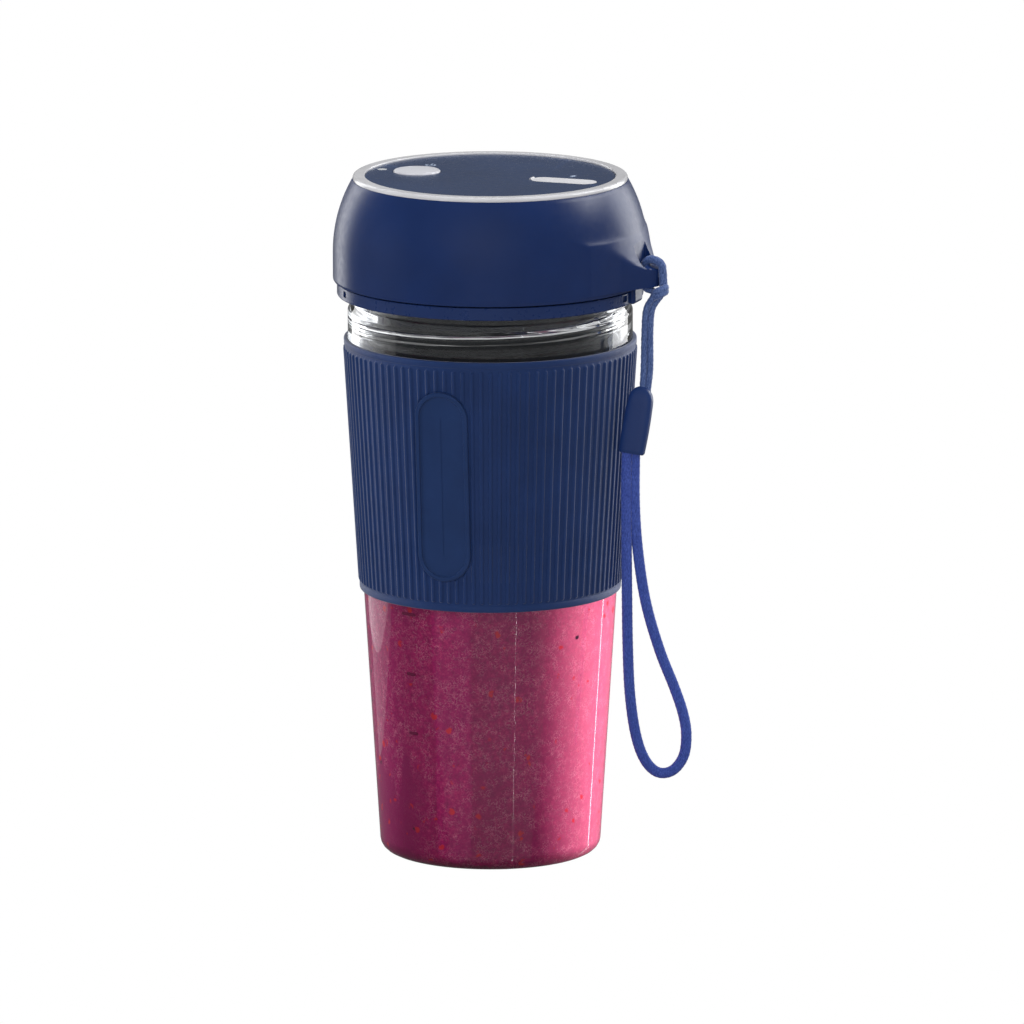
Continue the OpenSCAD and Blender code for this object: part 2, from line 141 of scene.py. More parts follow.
def skin(name, rows, material, wrap_rows=False, poles=(None, None), sharp=40):
    """A surface through rows of points, each row a closed loop. A pole closes an end."""
    rows = np.asarray(rows, float)
    n, cols = rows.shape[:2]
    verts = rows.reshape(-1, 3).tolist()
    faces = grid_faces(n, cols, wrap_rows=wrap_rows)
    for row, pole in ((0, poles[0]), (n - 1, poles[1])):
        if pole is not None:
            verts.append(list(pole))
            top = len(verts) - 1
            faces += [[row * cols + c, row * cols + (c + 1) % cols, top] for c in range(cols)]
    return make_object(name, verts, faces, material, sharp)


def ring_at(radius, z, thetas):
    """Points round the axis at height z, with a radius for each angle."""
    return np.stack([radius * np.cos(thetas), radius * np.sin(thetas), np.full(len(thetas), z)], -1)


def lathe_rows(profile, thetas, shape=None):
    """Rows of points for a profile of (r, z). shape(r, z, theta) may change the radius."""
    thetas = np.asarray(thetas)
    rows = []
    for r, z in profile:
        radius = np.full(len(thetas), float(r))
        if shape is not None:
            radius = shape(radius, float(z), thetas)
        rows.append(ring_at(radius, z, thetas))
    return np.array(rows)


def round_steps(count):
    return np.linspace(0, TAU, count, endpoint=False)


def rounded(points, closed=False):
    """Profile (r, z) from corners (r, z, radius), with each corner as an arc of that radius."""
    steps = 5
    out = []
    count = len(points)
    for i, (x, y, radius) in enumerate(points):
        if radius == 0 or (not closed and i in (0, count - 1)):
            out.append((x, y))
            continue
        corner = Vector((x, y))
        a = (Vector(points[i - 1][:2]) - corner).normalized()
        b = (Vector(points[(i + 1) % count][:2]) - corner).normalized()
        half = a.angle(b) / 2
        centre = corner + (a + b).normalized() * (radius / math.sin(half))
        start = corner + a * (radius / math.tan(half)) - centre
        end = corner + b * (radius / math.tan(half)) - centre
        sweep = start.angle_signed(end)
        for k in range(steps + 1):
            angle = -sweep * k / steps
            c, s = math.cos(angle), math.sin(angle)
            out.append(
                (centre.x + start.x * c - start.y * s, centre.y + start.x * s + start.y * c)
            )
    return out


def smoothstep(low, high, x):
    t = np.clip((np.asarray(x, float) - low) / (high - low), 0, 1)
    return t * t * (3 - 2 * t)


def dense(profile, step):
    """The same profile with extra points, so that no stretch is longer than step."""
    out = [profile[0]]
    for (r0, z0), (r1, z1) in zip(profile, profile[1:]):
        parts = max(1, math.ceil(math.hypot(r1 - r0, z1 - z0) / step))
        for k in range(1, parts + 1):
            t = k / parts
            out.append((r0 + (r1 - r0) * t, z0 + (z1 - z0) * t))
    return out


def weighted(obj):
    """Keeps the shading of flat faces flat beside their rounded edges."""
    modifier = obj.modifiers.new("weighted", "WEIGHTED_NORMAL")
    modifier.keep_sharp = True
    return obj


def apply_modifiers(obj):
    """Replaces the object's mesh by what its modifiers make of it."""
    graph = bpy.context.evaluated_depsgraph_get()
    mesh = bpy.data.meshes.new_from_object(obj.evaluated_get(graph))
    obj.modifiers.clear()
    obj.data = mesh


def boolean(obj, other, operation):
    modifier = obj.modifiers.new("boolean", "BOOLEAN")
    modifier.operation = operation
    modifier.object = other
    modifier.solver = "EXACT"
    apply_modifiers(obj)
    bpy.data.objects.remove(other)


# ---------------------------------------------------------------- material helpers


def srgb(*values):
    """Linear colour from 0-255 display values."""
    linear = [
        v / 255 / 12.92 if v / 255 <= 0.04045 else ((v / 255 + 0.055) / 1.055) ** 2.4
        for v in values
    ]
    return (*linear, 1.0)


class Shader:
    """Builds one node material around a Principled shader."""

    def __init__(self, name):
        self.material = bpy.data.materials.new(name)
        self.material.use_nodes = True
        self.tree = self.material.node_tree
        self.surface = self.tree.nodes["Principled BSDF"]
        self.output = self.tree.nodes["Material Output"]
        self.coords = self.tree.nodes.new("ShaderNodeTexCoord").outputs["Object"]

    def node(self, kind, **inputs):
        made = self.tree.nodes.new(kind)
        for key, value in inputs.items():
            self.put(made.inputs[key.replace("_", " ")], value)
        return made

    def put(self, socket, value):
        if isinstance(value, bpy.types.NodeSocket):
            self.tree.links.new(value, socket)
        else:
            socket.default_value = value

    def set(self, **inputs):
        """Sets or links sockets of the Principled shader."""
        for key, value in inputs.items():
            self.put(self.surface.inputs[key.replace("_", " ")], value)

    def noise(self, per_mm, detail=3.0, rough=0.55, stretch=(1, 1, 1)):
        """Noise with that many features per millimetre."""
        mapping = self.node("ShaderNodeMapping", Vector=self.coords)
        mapping.inputs["Scale"].default_value = [s / MM for s in stretch]
        made = self.node("ShaderNodeTexNoise", Vector=mapping.outputs[0])
        made.inputs["Scale"].default_value = per_mm
        made.inputs["Detail"].default_value = detail
        made.inputs["Roughness"].default_value = rough
        return made.outputs["Fac"]

    def cells(self, per_mm):
        """Distance to the nearest of many scattered points, with that many per millimetre."""
        made = self.node("ShaderNodeTexVoronoi", Vector=self.coords)
        made.inputs["Scale"].default_value = per_mm / MM
        return made.outputs["Distance"]

    def ramp(self, value, stops):
        """Colour ramp from (position, colour) stops."""
        made = self.tree.nodes.new("ShaderNodeValToRGB")
        ramp = made.color_ramp
        while len(ramp.elements) < len(stops):
            ramp.elements.new(0.5)
        for element, (at, colour) in zip(ramp.elements, stops):
            element.position = at
            element.color = colour if len(colour) == 4 else (*colour, 1)
        self.put(made.inputs[0], value)
        return made.outputs["Color"]

    def fit(self, value, low, high, to_low, to_high):
        """Maps a value from one range to another, held inside it."""
        made = self.tree.nodes.new("ShaderNodeMapRange")
        made.clamp = True
        for key, number in zip(
            ("Value", "From Min", "From Max", "To Min", "To Max"),
            (value, low, high, to_low, to_high),
        ):
            self.put(made.inputs[key], number)
        return made.outputs[0]

    def mix(self, factor, a, b):
        made = self.tree.nodes.new("ShaderNodeMix")
        made.data_type = "RGBA"
        self.put(made.inputs[0], factor)
        self.put(made.inputs[6], a)
        self.put(made.inputs[7], b)
        return made.outputs[2]

    def math(self, operation, a, b=0.0):
        made = self.tree.nodes.new("ShaderNodeMath")
        made.operation = operation
        self.put(made.inputs[0], a)
        self.put(made.inputs[1], b)
        return made.outputs[0]

    def bump(self, height, depth_mm):
        made = self.node("ShaderNodeBump", Height=height)
        made.inputs["Distance"].default_value = depth_mm * MM
        made.inputs["Strength"].default_value = 1.0
        self.put(self.surface.inputs["Normal"], made.outputs[0])

    def axis(self, name):
        """One of the object coordinates, in millimetres."""
        split = self.node("ShaderNodeSeparateXYZ", Vector=self.coords)
        return self.math("MULTIPLY", split.outputs[name], 1 / MM)

    def edge_wear_and_crease_shade(self):
        """High on convex edges and low in hollows, where the mesh itself bends."""
        return self.tree.nodes.new("ShaderNodeNewGeometry").outputs["Pointiness"]


def scaled(colour, factor):
    return tuple(c * factor for c in colour[:3]) + (1.0,)


def moulded(
    name, colour, rough=0.38, grain=0.012, grain_per_mm=5.0, specular=0.5, coat=0.0, worn=0.35
):
    """Injection-moulded plastic: a fine spark-eroded grain, soft colour drift, worn edges."""
    s = Shader(name)
    drift = s.noise(0.05, detail=2)
    speck = s.noise(grain_per_mm, detail=3, rough=0.6)
    base = s.ramp(drift, [(0.3, scaled(colour, 0.9)), (0.7, scaled(colour, 1.1))])
    wear = s.fit(s.edge_wear_and_crease_shade(), 0.52, 0.6, 0.0, worn)
    tone = s.mix(wear, base, scaled(colour, 1.8))
    s.set(
        Base_Color=tone,
        Roughness=s.fit(s.noise(0.6, detail=4), 0.3, 0.7, rough - 0.05, rough + 0.05),
        IOR=1.5,
        Specular_IOR_Level=specular,
        Coat_Weight=coat,
        Coat_Roughness=0.08,
    )
    s.bump(speck, grain)
    return s.material


def silicone(name, colour, rough=0.55, sheen=0.25):
    """Matte silicone: dust-soft sheen, a faint moulding texture and lint."""
    s = Shader(name)
    drift = s.noise(0.08, detail=3)
    lint = s.fit(s.noise(1.4, detail=5, rough=0.7), 0.66, 0.8, 0, 0.12)
    base = s.ramp(drift, [(0.3, scaled(colour, 0.92)), (0.7, scaled(colour, 1.1))])
    s.set(
        Base_Color=s.mix(lint, base, scaled(colour, 3)),
        Roughness=s.fit(s.noise(0.9, detail=3), 0.3, 0.7, rough - 0.06, rough + 0.06),
        IOR=1.43,
        Specular_IOR_Level=0.45,
        Sheen_Weight=sheen,
        Sheen_Roughness=0.4,
    )
    s.bump(s.noise(7, detail=2), 0.008)
    return s.material


def metal(name, colour, rough=0.25, stretch=(1, 1, 1), per_mm=6.0, depth=0.004):
    """Metal with fine brushing or plating marks. stretch sets the brushing's direction."""
    s = Shader(name)
    lines = s.noise(per_mm, detail=3, stretch=stretch)
    smudge = s.noise(0.15, detail=3)
    s.set(
        Base_Color=s.ramp(lines, [(0.25, scaled(colour, 0.82)), (0.75, scaled(colour, 1.08))]),
        Metallic=1.0,
        Roughness=s.fit(smudge, 0.3, 0.7, rough - 0.06, rough + 0.1),
    )
    s.bump(lines, depth)
    return s.material


def clear_plastic(name, tint):
    """Clear plastic that lets light through to what it holds, with faint scuffs."""
    rough = 0.015
    s = Shader(name)
    scuff = s.fit(s.noise(0.5, detail=6, rough=0.7), 0.55, 0.8, rough, rough + 0.05)
    s.set(Base_Color=tint, Roughness=scuff, Transmission_Weight=1.0, IOR=1.5)
    clear = s.tree.nodes.new("ShaderNodeBsdfTransparent")
    clear.inputs[0].default_value = tint
    path = s.tree.nodes.new("ShaderNodeLightPath")
    mixed = s.tree.nodes.new("ShaderNodeMixShader")
    s.put(mixed.inputs[0], path.outputs["Is Shadow Ray"])
    s.put(mixed.inputs[1], s.surface.outputs[0])
    s.put(mixed.inputs[2], clear.outputs[0])
    s.put(s.output.inputs["Surface"], mixed.outputs[0])
    return s.material


def drink_pulp(s, pulp):
    """Mottled pulp, with painted light on the +X side: paler pink there."""
    broad = s.noise(0.07, detail=3, stretch=(1, 1, 0.5))
    base = s.ramp(
        pulp,
        [
            (0.30, srgb(110, 0, 68)), (0.45, srgb(150, 2, 88)),
            (0.55, srgb(172, 16, 98)), (0.68, srgb(206, 70, 120)),
        ],
    )
    base = s.mix(s.fit(broad, 0.35, 0.65, 0, 0.5), base, srgb(136, 0, 84))
    # painted light: the pulp turns paler pink towards +X, where the lamps light the drink from behind
    return s.mix(s.fit(s.axis("X"), 20, 29, 0, 0.42), base, srgb(236, 128, 146))


def drink_froth(s, base):
    """Thin wandering lines of pale froth, in patches."""
    lines = s.math("ABSOLUTE", s.math("SUBTRACT", s.noise(1.05, detail=6, rough=0.65), 0.5))
    patchy = s.fit(s.noise(0.35, detail=3), 0.4, 0.62, 0, 1)
    froth = s.math("MULTIPLY", s.fit(lines, 0.0, 0.03, 0.5, 0), patchy)
    return s.mix(froth, base, srgb(244, 166, 188))


def drink_tongues(s, base):
    """Darker magenta in tongues low on the -X side."""
    tongue = s.math("MULTIPLY", s.noise(0.11, detail=3, stretch=(1, 1, 0.02)), 90)
    below = s.fit(s.math("SUBTRACT", s.axis("Z"), tongue), -22, -17, 1, 0)
    side = s.fit(s.axis("X"), -14, -4, 0.9, 0)
    return s.mix(s.math("MULTIPLY", below, side), base, srgb(138, 0, 84))


def drink_bits(s, base):
    """Red flecks of skin and a few dark seeds."""
    fleck = s.fit(s.cells(0.2), 0.16, 0.24, 1, 0)
    some = s.fit(s.noise(0.5, detail=2), 0.5, 0.58, 0, 0.9)
    base = s.mix(s.math("MULTIPLY", fleck, some), base, srgb(205, 36, 52))
    seed = s.fit(s.cells(0.1), 0.05, 0.09, 1, 0)
    few = s.fit(s.noise(0.7, detail=2), 0.5, 0.56, 0, 1)
    return s.mix(s.math("MULTIPLY", seed, few), base, srgb(48, 12, 40))


def drink_material():
    """Berry smoothie."""
    s = Shader("berry_smoothie")
    pulp = s.noise(0.9, detail=9, rough=0.78)
    base = drink_bits(s, drink_tongues(s, drink_froth(s, drink_pulp(s, pulp))))
    s.set(
        Base_Color=base,
        Roughness=s.fit(pulp, 0.3, 0.7, 0.35, 0.6),
        Subsurface_Weight=0.12,
        Subsurface_Scale=0.0008,
        IOR=1.36,
    )
    s.surface.inputs["Subsurface Radius"].default_value = (1.0, 0.25, 0.45)
    s.bump(s.noise(1.3, detail=6), 0.05)
    return s.material


def braid_material(name, colour, light):
    """Woven cord: single strands across the carriers, with a painted highlight on the raised strands
    and painted shade in the creases between them.
    """
    s = Shader(name)
    strands = s.noise(4, detail=3, stretch=(1, 1, 0.35))
    patch = s.noise(0.25, detail=3)
    # painted highlight: the raised strands take the paler colour
    base = s.ramp(strands, [(0.3, scaled(colour, 0.7)), (0.7, light)])
    base = s.mix(s.fit(patch, 0.35, 0.65, 0.0, 0.35), base, scaled(colour, 0.85))
    # painted shade: the cord darkens where its surface bends inwards, between the strands
    painted_crease_shade = s.fit(s.edge_wear_and_crease_shade(), 0.42, 0.52, 0.0, 1.0)
    base = s.mix(painted_crease_shade, scaled(colour, 0.35), base)
    s.set(Base_Color=base, Roughness=0.7, Sheen_Weight=0.5, Sheen_Roughness=0.35, IOR=1.45)
    s.bump(strands, 0.06)
    return s.material


# ---------------------------------------------------------------- materials

NAVY = srgb(19, 45, 98)
navy_shell = moulded("navy_shell", NAVY, rough=0.33, grain=0.006)
navy_collar = moulded("navy_collar", srgb(28, 51, 102), rough=0.3, grain=0.006, worn=0.0)
navy_bead = moulded("navy_bead", srgb(30, 56, 112), rough=0.36, grain=0.006)
navy_silicone = silicone("navy_silicone", srgb(24, 52, 104), sheen=0.35)
badge_silicone = silicone("badge_silicone", srgb(28, 54, 102), rough=0.42, sheen=0.05)
grey_silicone = silicone("grey_silicone", srgb(120, 122, 126))
cover_silicone = silicone("cover_silicone", srgb(222, 222, 226), rough=0.45, sheen=0.05)
button_plastic = moulded("button_plastic", srgb(222, 223, 230), rough=0.32, grain=0.004)
white_trim = moulded("white_trim", srgb(226, 226, 230), rough=0.22, grain=0.003, coat=0.4)
panel_plastic = moulded("panel_plastic", srgb(34, 57, 96), rough=0.3, grain=0.0006, coat=0.1)
print_ink = moulded("print_ink", srgb(176, 190, 212), rough=0.5, grain=0.002)
dark_plastic = moulded("dark_plastic", srgb(24, 26, 29), rough=0.42, grain=0.004, specular=0.3)
frame_plastic = moulded("frame_plastic", srgb(48, 49, 52), rough=0.5, grain=0.01)
motor_plastic = moulded("motor_plastic", srgb(214, 208, 190), rough=0.45, grain=0.008)
chip_plastic = moulded("chip_plastic", srgb(26, 26, 28), rough=0.45, grain=0.01)
lens_plastic = moulded("lens_plastic", srgb(232, 236, 240), rough=0.2, grain=0.002, coat=0.5)
cell_film = moulded("cell_film", srgb(28, 120, 128), rough=0.25, grain=0.01, coat=0.6)
lead_insulation = moulded("lead_insulation", srgb(170, 28, 22), rough=0.4, grain=0.006)
board_mask = moulded("board_mask", srgb(20, 84, 44), rough=0.3, grain=0.02, grain_per_mm=1.5)
clear_cup = clear_plastic("clear_cup", (0.93, 0.95, 0.97, 1))
scale_print = moulded("scale_print", srgb(92, 4, 52), rough=0.4, grain=0.004)
stainless = metal("stainless", (0.56, 0.56, 0.57, 1), rough=0.26, stretch=(0.1, 1, 1))
plated_steel = metal("plated_steel", (0.52, 0.52, 0.54, 1), rough=0.3, per_mm=2.5)
laminated_steel = metal("laminated_steel", (0.3, 0.31, 0.33, 1), rough=0.4, stretch=(0.1, 0.1, 2))
bronze = metal("bronze", (0.62, 0.4, 0.2, 1), rough=0.42, per_mm=4, depth=0.01)
copper = metal("copper", (0.72, 0.32, 0.16, 1), rough=0.35, stretch=(1, 1, 0.15), depth=0.02)
ferrite = moulded("ferrite", srgb(52, 52, 55), rough=0.6, grain=0.02)
carbon = moulded("carbon", srgb(34, 33, 32), rough=0.6, grain=0.015)
tie_braid = braid_material("tie_braid", srgb(58, 86, 150), srgb(120, 144, 202))
loop_braid = braid_material("loop_braid", srgb(54, 80, 176), srgb(86, 112, 208))
smoothie = drink_material()

# ---------------------------------------------------------------- wrist strap

TIE_D, LOOP_D, BRAID_RELIEF = 1.7, 2.6, 0.16
TIE_FULLER, FULLER_OVER_BAR = 1.1, 0.32
LOOP_WIDER, LOOP_THINNER, LOOP_SIDE = 1.14, 0.72, (0.34, -0.94, 0)
# Where the strap hangs: up from the bead, through the lug and back, and round the hand loop.
TIE_ROUTE = [
    (44.9, -3.0, 130.5), (45.1, -2.5, 137), (45.1, -1.9, 147), (45.5, -1.6, 153),
    (47.4, -1.4, 156.6), (46.9, -0.9, 158), (44.9, -0.4, 158.7), (44.6, 0, 161.5),
    (44.6, 0, 165), (45.7, 0, 166.3), (47.6, 0, 166.2), (49.2, 0, 165), (49.6, 0.1, 161.5),
    (49.6, 0.1, 158.8), (48.9, 0, 156.6), (46.8, -0.6, 153), (46.4, -1.1, 147),
    (46.6, -1.7, 137), (46.1, -2.3, 130.5),
]
LOOP_ROUTE = [
    (41.9, -6.9, 116.5), (41.6, -6.7, 105), (41.6, -6.4, 90), (41.7, -6.2, 75),
    (41.9, -6, 60), (42.5, -5.8, 47), (44, -5.3, 36), (46.3, -4.4, 29), (49.6, -3.2, 25.5),
    (53.4, -1.9, 26), (56.2, -0.8, 30), (56.9, -0.6, 36), (56, -0.9, 42), (53.7, -1.4, 49),
    (49.8, -2.6, 59.5), (46.3, -3.8, 72.5), (44.3, -4.6, 86.5), (43.5, -5.2, 100),
    (43.6, -5.4, 116.5),
]
BEAD_LOW, BEAD_HIGH = Vector((42.9, -6.3, 114)), Vector((45.0, -2.9, 132))
BEAD_HALF_W, BEAD_HALF_D, BEAD_SQUARE = 3.5, 2.1, 0.55
KNOT, KNOT_TURN, KNOT_D, KNOT_SLOPE = Vector((49.0, -0.6, 157.8)), 1.45, 2.1, 0.35


def smooth_route(points, spacing):
    """Points about spacing apart on the smooth curve through the route."""
    pts = np.array(points, float)
    ends = np.vstack([2 * pts[0] - pts[1], pts, 2 * pts[-1] - pts[-2]])
    fine = []
    for i in range(1, len(ends) - 2):
        p0, p1, p2, p3 = ends[i - 1 : i + 3]
        for t in np.linspace(0, 1, 60, endpoint=False):
            fine.append(
                0.5
                * (
                    2 * p1
                    + (p2 - p0) * t
                    + (2 * p0 - 5 * p1 + 4 * p2 - p3) * t * t
                    + (3 * p1 - p0 - 3 * p2 + p3) * t**3
                )
            )
    fine.append(pts[-1])
    fine = np.array(fine)
    along = np.concatenate([[0], np.cumsum(np.linalg.norm(np.diff(fine, axis=0), axis=1))])
    stops = np.linspace(0, along[-1], max(8, int(along[-1] / spacing)))
    line = np.stack([np.interp(stops, along, fine[:, k]) for k in range(3)], -1)
    return line, along[-1]


def cord_mesh(
    name, line, width, thick, side, carriers, lay_mm, relief, material, sides=28, fuller=1.0
):
    """A braided cord along line. Its carriers cross once in lay_mm and stand relief proud.
    fuller widens it from place to place."""
    way = np.gradient(line, axis=0)
    way /= np.linalg.norm(way, axis=1)[:, None]
    across = np.cross(way, np.array(side, float))
    across /= np.linalg.norm(across, axis=1)[:, None]
    out = np.cross(way, across)
    step = np.linalg.norm(np.diff(line, axis=0), axis=1).mean()
    s = np.arange(len(line))[:, None] * step
    u = np.linspace(0, TAU, sides, endpoint=False)[None, :]
    phase = TAU * s / lay_mm / 2
    weave = np.sqrt(np.abs(np.sin(carriers / 2 * u + phase) * np.sin(carriers / 2 * u - phase)))
    lift = 1 - relief / (width / 2) + weave * relief / (width / 2)
    lift = lift * np.reshape(fuller, (-1, 1))
    a, b = width / 2 * np.cos(u) * lift, thick / 2 * np.sin(u) * lift
    rows = line[:, None, :] + across[:, None, :] * a[..., None] + out[:, None, :] * b[..., None]
    return skin(name, rows, material, poles=(line[0], line[-1]), sharp=180)


def make_tie_cord():
    line, length = smooth_route(TIE_ROUTE, 0.16)
    over_bar = smoothstep(156.5, 160.5, line[:, 2])
    cord = cord_mesh(
        "tie_cord", line, TIE_D, TIE_D, (0, 1, 0), 8, 2.4, BRAID_RELIEF, tie_braid,
        fuller=TIE_FULLER + FULLER_OVER_BAR * over_bar,
    )
    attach(cord, "motor_unit")
    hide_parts("tie_cord")
    return cord, line, length


def make_hand_loop():
    line, length = smooth_route(LOOP_ROUTE, 0.22)
    cord = cord_mesh(
        "hand_loop", line, LOOP_D * LOOP_WIDER, LOOP_D * LOOP_THINNER, LOOP_SIDE, 12, 2.0, 0.14,
        loop_braid, sides=36,
    )
    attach(cord, "motor_unit")
    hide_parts("hand_loop")
    return cord, line, length


def make_knot():
    """Overhand knot: one and three quarter turns of the tie cord round its two strands."""
    start, low, tall = 2.2, 1.1, 1.9
    turns = np.linspace(0, 1.75 * TAU, 150)
    across = KNOT_TURN * np.cos(turns + start)
    forward = KNOT_TURN * np.sin(turns + start)
    up = tall * turns / turns[-1] - low + KNOT_SLOPE * across
    line = np.stack([KNOT.x + across, KNOT.y + forward, KNOT.z + up], -1)
    knot = cord_mesh(
        "strap_knot", line, KNOT_D, KNOT_D, (0, 0, 1), 8, 2.4, BRAID_RELIEF, tie_braid
    )
    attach(knot, "motor_unit")
    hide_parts("strap_knot")
    return knot


def bead_size(t):
    """Half width and half depth of the bead at 0-1 of its length: rounded foot, round crown."""
    foot = 1 - 0.09 * (1 - smoothstep(0, 0.03, t))
    crown = math.sqrt(max(1e-4, 1 - max(0.0, (t - 0.72) / 0.28) ** 2.4))
    swell = 1 + 0.05 * math.sin(math.pi * min(1, t / 0.75))
    return BEAD_HALF_W * foot * crown * swell, BEAD_HALF_D * foot * crown ** 0.8


def squared(wave):
    """Pushes a sine wave outwards, so that a circle becomes a rounded rectangle."""
    return np.sign(wave) * np.abs(wave) ** BEAD_SQUARE


def make_bead():
    """Tapered plastic bead: rounded-rectangle sections, narrow and round at its upper end."""
    axis = (BEAD_HIGH - BEAD_LOW).normalized()
    across = Vector((1, 0.1, 0))
    across = (across - axis * across.dot(axis)).normalized()
    deep = axis.cross(across)
    length = (BEAD_HIGH - BEAD_LOW).length
    angles = round_steps(64)
    crown = 0.8 + 0.2 * np.sin(np.linspace(0.1, math.pi / 2 * 0.985, 14))
    rows = []
    for t in np.concatenate([[0, 0.004, 0.012, 0.024], np.linspace(0.05, 0.8, 16), crown]):
        half_w, half_d = bead_size(t)
        centre = np.array(BEAD_LOW + axis * (length * t))
        side = np.outer(squared(np.cos(angles)) * half_w, across)
        rows.append(centre + side + np.outer(squared(np.sin(angles)) * half_d, deep))
    bead = skin(
        "strap_bead", rows, navy_bead, poles=(list(BEAD_LOW), list(BEAD_HIGH)), sharp=50
    )
    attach(bead, "motor_unit")
    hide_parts("strap_bead")
    return bead


def make_strap():
    tie, tie_line, tie_length = make_tie_cord()
    loop, loop_line, loop_length = make_hand_loop()
    knot = make_knot()
    bead = make_bead()


make_strap()

# ---------------------------------------------------------------- cup and drink

TAPER_FOOT, TAPER_TOP, NECK_IN = 29.95, 140, 35.7
FOOT_IN, CUP_FLOOR, RIM_OUT = 27.42, 3, 37.4
THREAD_PITCH, THREAD_LOW, THREAD_TALL = 6.0, 142.8, 1.3
DRINK_LEVEL, DRINK_FOOT, DRINK_OVERLAP = 112, 1.0, 0.15
MARKS = (("low", 37.4, 3.2), ("middle", 54, 3.2), ("high", 70.8, 4.8))
MARK_AT, MARK_TALL = math.radians(-110), 0.9


def cup_radius(z):
    """Outer radius of the cup's taper at height z."""
    top = cup_high.x
    return TAPER_FOOT + (top - TAPER_FOOT) * np.minimum(z, TAPER_TOP) / TAPER_TOP


def thread_ridge(z, thetas, low, turns, half, flank):
    """0-1 height of a helical ridge that starts at low and fades in and out at its ends."""
    height = np.zeros(len(thetas))
    for turn in range(-1, int(turns) + 2):
        along = thetas / TAU + turn
        middle = low + THREAD_PITCH * along
        ends = smoothstep(0, 0.12, along) * (1 - smoothstep(turns - 0.12, turns, along))
        across = 1 - smoothstep(half, half + flank, np.abs(z - middle))
        height = np.maximum(height, ends * across)
    return height


def female_thread(radius, z, thetas):
    inside = np.logical_and(radius < NECK_IN + 0.1, radius > NECK_IN - 0.6)
    return radius - THREAD_TALL * inside * thread_ridge(z, thetas, THREAD_LOW, 1.35, 0.3, 1.6)


def thicken(profile, low, high, step):
    """Extra profile points between two heights only."""
    out = [profile[0]]
    for a, b in zip(profile, profile[1:]):
        inside = low <= min(a[1], b[1]) + 0.5 and max(a[1], b[1]) <= high + 0.5
        out += dense([a, b], step)[1:] if inside else [b]
    return out


def make_cup():
    top, rim = cup_high.x, cup_high.z
    outer = rounded(
        [
            (2, 0, 0), (TAPER_FOOT, 0, 3.4), (top, TAPER_TOP, 12), (top, 150.2, 1),
            (RIM_OUT, 152.2, 1), (RIM_OUT, rim, 0.5), (35.2, rim, 0.5), (NECK_IN, 153.4, 1.5),
            (NECK_IN, TAPER_TOP, 12), (FOOT_IN, CUP_FLOOR, 4.5), (2, CUP_FLOOR, 0),
        ]
    )
    half = next(i for i, p in enumerate(outer) if p[1] == rim or p[1] > rim - 0.01)
    profile = outer[:half] + thicken(outer[half:], TAPER_TOP, 154, 0.35)
    rows = lathe_rows(profile, round_steps(216), female_thread)
    cup = skin("cup_shell", rows, clear_cup, poles=((0, 0, 0), (0, 0, CUP_FLOOR)), sharp=60)
    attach(cup, "cup")
    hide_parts("cup")


def make_drink():
    """The smoothie, which reaches just into the cup's wall and floor and stops below the blades."""
    level, foot = DRINK_LEVEL, DRINK_FOOT
    rise = (level - CUP_FLOOR) / (TAPER_TOP - CUP_FLOOR)
    wall = FOOT_IN + (NECK_IN - FOOT_IN) * rise + DRINK_OVERLAP
    profile = rounded(
        [
            (2, foot, 0), (28.95, foot, 3.4), (29.25, 30, 30), (wall, level + 0.9, 0.25),
            (wall - 2.2, level, 2.4), (2, level, 0),
        ]
    )
    rows = lathe_rows(thicken(profile, 8, level, 1.2), round_steps(160))
    drink = skin("drink", rows, smoothie, poles=((0, 0, foot), (0, 0, level)), sharp=70)
    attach(drink, "cup")


def make_scale():
    """Volume marks: a short raised outline at 100, 150 and 200 ml."""
    section = ((0, -0.1), (0, 0.1), (0.1, 0.16), (0.34, 0.16), (0.44, 0.1), (0.44, -0.1))
    for name, z, width in MARKS:
        outline = stadium_loop(width, MARK_TALL, 40)
        rows = []
        for inset, lift in section:
            rows.append(on_cone(shrink(outline, width, MARK_TALL, inset), MARK_AT, z, lift))
        mark = skin(f"volume_mark_{name}", rows, scale_print, wrap_rows=True, sharp=50)
        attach(mark, "cup")


# ---------------------------------------------------------------- sleeve


def stadium_loop(length, width, count):
    """Closed outline of a stadium that is long along its first axis."""
    straight, r = length - width, width / 2
    total = 2 * straight + TAU * r
    out = []
    for d in np.linspace(0, total, count, endpoint=False):
        if d < straight:
            out.append((-straight / 2 + d, -r))
        elif d < straight + math.pi * r:
            a = (d - straight) / r - math.pi / 2
            out.append((straight / 2 + r * math.cos(a), r * math.sin(a)))
        elif d < 2 * straight + math.pi * r:
            out.append((straight / 2 - (d - straight - math.pi * r), r))
        else:
            a = (d - 2 * straight - math.pi * r) / r + math.pi / 2
            out.append((-straight / 2 + r * math.cos(a), r * math.sin(a)))
    return np.array(out)


def shrink(loop, length, width, inset):
    """The stadium outline moved inwards by inset."""
    spine = np.clip(loop[:, 0], -(length - width) / 2, (length - width) / 2)
    core = np.stack([spine, np.zeros(len(loop))], -1)
    return core + (loop - core) * (1 - inset / (width / 2))


def on_cone(loop, azimuth, z, lift):
    """Points of a flat (across, up) outline wrapped round the cup's wall at height z."""
    height = z + loop[:, 1]
    radius = cup_radius(height) + lift
    theta = azimuth + loop[:, 0] / radius
    return np.stack([radius * np.cos(theta), radius * np.sin(theta), height], -1)


BADGE_L, BADGE_W, BADGE_Z, BADGE_AT = 52.5, 15.1, 107.7, math.radians(-90)
RIBS, RIB_HALF, RIB_TALL = 98, 0.56, 0.5
SLEEVE_BASE = 0.8  # thickness between the ribs


